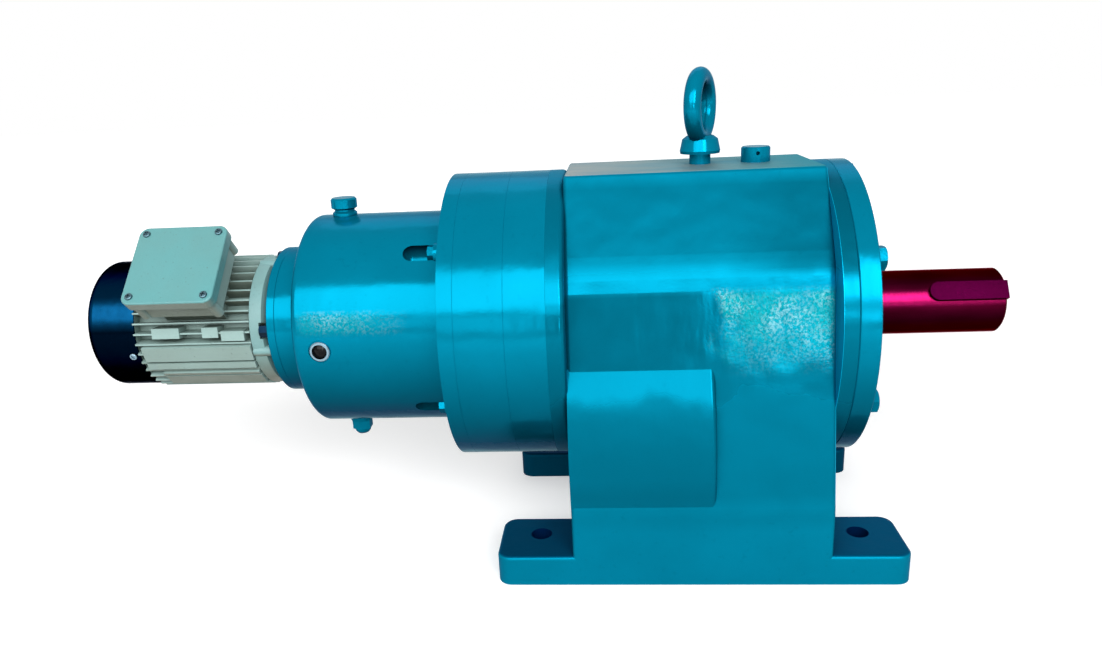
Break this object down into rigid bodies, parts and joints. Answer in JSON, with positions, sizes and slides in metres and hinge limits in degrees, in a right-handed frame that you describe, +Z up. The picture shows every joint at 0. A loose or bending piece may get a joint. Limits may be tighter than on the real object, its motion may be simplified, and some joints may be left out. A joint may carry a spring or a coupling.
{
  "type": "helical gear motor",
  "caption": "Foot-mounted inline helical gear motor: cast casing on rails, round primary gear unit, finned motor with terminal box, keyed solid output shaft and lifting eye.",
  "frame": {"origin": "middle of the foot bolt pattern, on the base plane under the shaft line", "axes": "+X along the shaft line from motor to output shaft, +Z up from the base, -Y the side with the terminal box and the sight glass"},
  "size_m": [0.998, 0.3329, 0.5085],
  "materials": {
    "teal_enamel": "glossy sprayed enamel over castings, slight orange peel",
    "cream_aluminium": "cream paint over die-cast aluminium",
    "black_enamel": "gloss black sheet steel",
    "red_lacquer": "clear red rust-proofing lacquer over turned steel",
    "key_lacquer": "clear red rust-proofing lacquer over a ground key",
    "seal_rubber": "matte nitrile",
    "zinc_steel": "bright zinc",
    "sight_glass": "clear, dark oil behind it",
    "copper_wire": "varnished copper wire",
    "stud_brass": "bright brass",
    "black_plastic": "moulded",
    "lamination": "stacked sheet edges",
    "gear_steel": "ground and hobbed steel, oiled"
  },
  "bodies": {
    "housing": {"main_housing": "teal_enamel", "output_cover": "teal_enamel", "output_cover_bolts": "teal_enamel", "output_oil_seal": "seal_rubber", "main_breather": "teal_enamel", "main_drain_plug": "teal_enamel", "eyebolt": "teal_enamel", "bearing_carrier": "teal_enamel", "spacer_ring": "teal_enamel", "primary_plate": "teal_enamel", "intermediate_oil_seal": "seal_rubber", "flange_bolts": "teal_enamel", "primary_housing": "teal_enamel", "primary_flange_bolts": "teal_enamel", "primary_breather": "teal_enamel", "primary_drain_plug": "teal_enamel", "sight_glass_bezel": "zinc_steel", "sight_glass_lens": "sight_glass", "motor_adaptor": "teal_enamel", "adaptor_screws": "zinc_steel", "input_oil_seal": "seal_rubber", "motor_flange": "teal_enamel", "motor_flange_bolts": "teal_enamel", "drive_end_shield": "cream_aluminium", "motor_frame": "cream_aluminium", "stator_core": "lamination", "stator_winding": "copper_wire", "rear_end_shield": "cream_aluminium", "fan_cowl": "black_enamel", "cowl_screws": "zinc_steel", "terminal_box": "cream_aluminium", "terminal_gasket": "seal_rubber", "terminal_cover": "cream_aluminium", "terminal_cover_screws": "zinc_steel", "terminal_board": "black_plastic", "terminal_studs": "stud_brass", "cable_entry_plug": "black_plastic", "main_bearing_outer_rings": "gear_steel", "primary_bearing_outer_rings": "gear_steel", "motor_bearing_outer_rings": "gear_steel"},
    "output": {"output_shaft": "red_lacquer", "output_key": "key_lacquer", "output_wheel": "gear_steel", "output_spacer": "gear_steel", "output_bearing_inner_rings": "gear_steel"},
    "countershaft": {"counter_shaft": "gear_steel", "counter_wheel": "gear_steel", "counter_bearing_inner_rings": "gear_steel"},
    "middle": {"middle_shaft": "gear_steel", "primary_wheel": "gear_steel", "middle_bearing_inner_rings": "gear_steel"},
    "primary_countershaft": {"primary_counter_shaft": "gear_steel", "primary_counter_wheel": "gear_steel", "primary_counter_inner_rings": "gear_steel"},
    "rotor": {"input_pinion_shaft": "gear_steel", "motor_shaft": "gear_steel", "motor_key": "gear_steel", "rotor_core": "lamination", "cooling_fan": "black_plastic", "rotor_bearing_inner_rings": "gear_steel"}
  },
  "joints": [
    {"name": "output_spin", "type": "hinge", "parent": "housing", "child": "output", "pos_m": [0, 0, 0.25], "axis": [1, 0, 0], "continuous": true},
    {"name": "countershaft_spin", "type": "hinge", "parent": "housing", "child": "countershaft", "pos_m": [0, -0.057, 0.15127], "axis": [1, 0, 0], "continuous": true},
    {"name": "middle_spin", "type": "hinge", "parent": "housing", "child": "middle", "pos_m": [0, 0, 0.25], "axis": [1, 0, 0], "continuous": true},
    {"name": "primary_countershaft_spin", "type": "hinge", "parent": "housing", "child": "primary_countershaft", "pos_m": [0, 0, 0.194], "axis": [1, 0, 0], "continuous": true},
    {"name": "rotor_spin", "type": "hinge", "parent": "housing", "child": "rotor", "pos_m": [0, 0, 0.25], "axis": [1, 0, 0], "continuous": true}
  ],
  "couplings": [
    {"joint": "countershaft_spin", "follows": "output_spin", "ratio": -2.75},
    {"joint": "middle_spin", "follows": "output_spin", "ratio": 7.7917},
    {"joint": "primary_countershaft_spin", "follows": "output_spin", "ratio": -21.427},
    {"joint": "rotor_spin", "follows": "output_spin", "ratio": 60.71}
  ]
}
